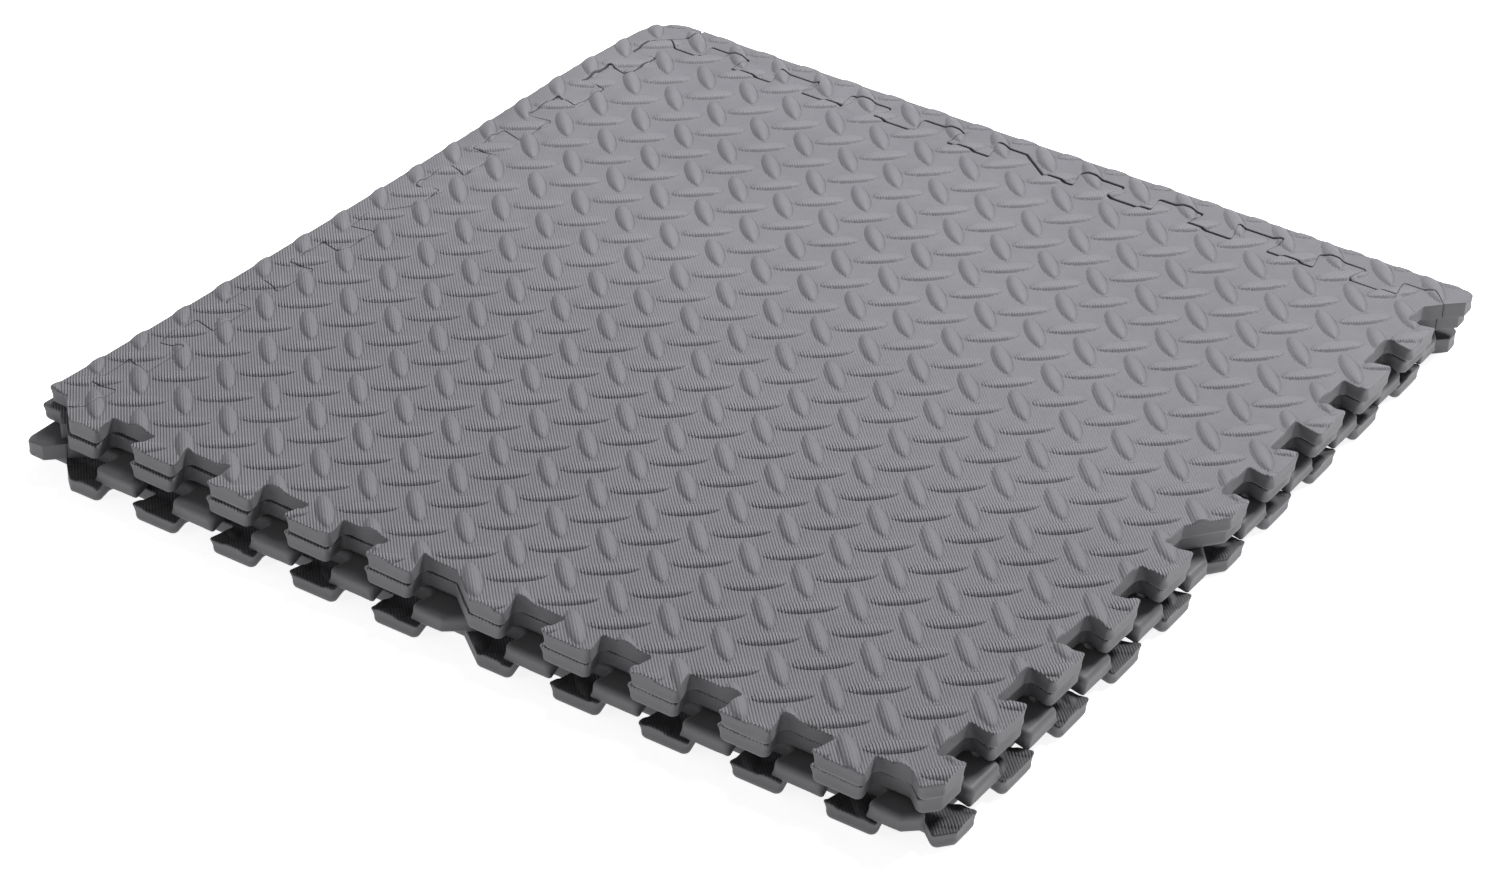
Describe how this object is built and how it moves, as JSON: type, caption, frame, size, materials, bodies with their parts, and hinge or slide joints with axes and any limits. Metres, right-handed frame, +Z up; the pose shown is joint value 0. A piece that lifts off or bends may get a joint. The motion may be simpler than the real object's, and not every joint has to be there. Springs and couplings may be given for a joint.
{
  "type": "interlocking foam floor mats",
  "caption": "Stack of square closed-cell foam mats with dovetail-toothed edges, a raised lug pattern on one face, and straight border strips locked onto two sides of each.",
  "frame": {"origin": "on the surface the stack lies on, below the centre of the top mat", "axes": "+Z up; +X and +Y along the top mat's edges; the -Y and +X edges are the free, toothed ones and the border strips close the -X and +Y edges"},
  "size_m": [0.6596, 0.6608, 0.0429],
  "materials": {
    "mat_foam": "matte closed-cell foam with a fine ribbed and lugged face",
    "border_foam": "matte closed-cell foam with a fine ribbed and lugged face"
  },
  "bodies": {
    "mat_4_bottom": {"mat_4_bottom": "mat_foam"},
    "mat_3_face_down": {"mat_3_face_down": "mat_foam"},
    "mat_2": {"mat_2": "mat_foam"},
    "mat_1_top": {"mat_1_top": "mat_foam"},
    "corner_border_4": {"corner_border_4": "border_foam"},
    "edge_border_4": {"edge_border_4": "border_foam"},
    "corner_border_3": {"corner_border_3": "border_foam"},
    "edge_border_3": {"edge_border_3": "border_foam"},
    "corner_border_2": {"corner_border_2": "border_foam"},
    "edge_border_2": {"edge_border_2": "border_foam"},
    "corner_border_1": {"corner_border_1": "border_foam"},
    "edge_border_1": {"edge_border_1": "border_foam"}
  },
  "joints": [
    {"name": "lift_mat_3", "type": "slide", "parent": "mat_4_bottom", "child": "mat_3_face_down", "axis": [0, 0, 1], "range_m": [0, 0.04]},
    {"name": "lift_mat_2", "type": "slide", "parent": "mat_3_face_down", "child": "mat_2", "axis": [0, 0, 1], "range_m": [0, 0.04]},
    {"name": "lift_mat_1", "type": "slide", "parent": "mat_2", "child": "mat_1_top", "axis": [0, 0, 1], "range_m": [0, 0.04]},
    {"name": "lift_corner_border_4", "type": "slide", "parent": "mat_4_bottom", "child": "corner_border_4", "axis": [0, 0, 1], "range_m": [0, 0.014]},
    {"name": "lift_edge_border_4", "type": "slide", "parent": "mat_4_bottom", "child": "edge_border_4", "axis": [0, 0, 1], "range_m": [0, 0.014]},
    {"name": "lift_corner_border_3", "type": "slide", "parent": "mat_3_face_down", "child": "corner_border_3", "axis": [0, 0, 1], "range_m": [0, 0.014]},
    {"name": "lift_edge_border_3", "type": "slide", "parent": "mat_3_face_down", "child": "edge_border_3", "axis": [0, 0, 1], "range_m": [0, 0.014]},
    {"name": "lift_corner_border_2", "type": "slide", "parent": "mat_2", "child": "corner_border_2", "axis": [0, 0, 1], "range_m": [0, 0.014]},
    {"name": "lift_edge_border_2", "type": "slide", "parent": "mat_2", "child": "edge_border_2", "axis": [0, 0, 1], "range_m": [0, 0.014]},
    {"name": "lift_corner_border_1", "type": "slide", "parent": "mat_1_top", "child": "corner_border_1", "axis": [0, 0, 1], "range_m": [0, 0.014]},
    {"name": "lift_edge_border_1", "type": "slide", "parent": "mat_1_top", "child": "edge_border_1", "axis": [0, 0, 1], "range_m": [0, 0.014]}
  ],
  "couplings": [
    {"joint": "lift_corner_border_4", "follows": "lift_mat_3", "ratio": 0.35},
    {"joint": "lift_edge_border_4", "follows": "lift_mat_3", "ratio": 0.35},
    {"joint": "lift_corner_border_3", "follows": "lift_mat_2", "ratio": 0.35},
    {"joint": "lift_edge_border_3", "follows": "lift_mat_2", "ratio": 0.35},
    {"joint": "lift_corner_border_2", "follows": "lift_mat_1", "ratio": 0.35},
    {"joint": "lift_edge_border_2", "follows": "lift_mat_1", "ratio": 0.35}
  ]
}
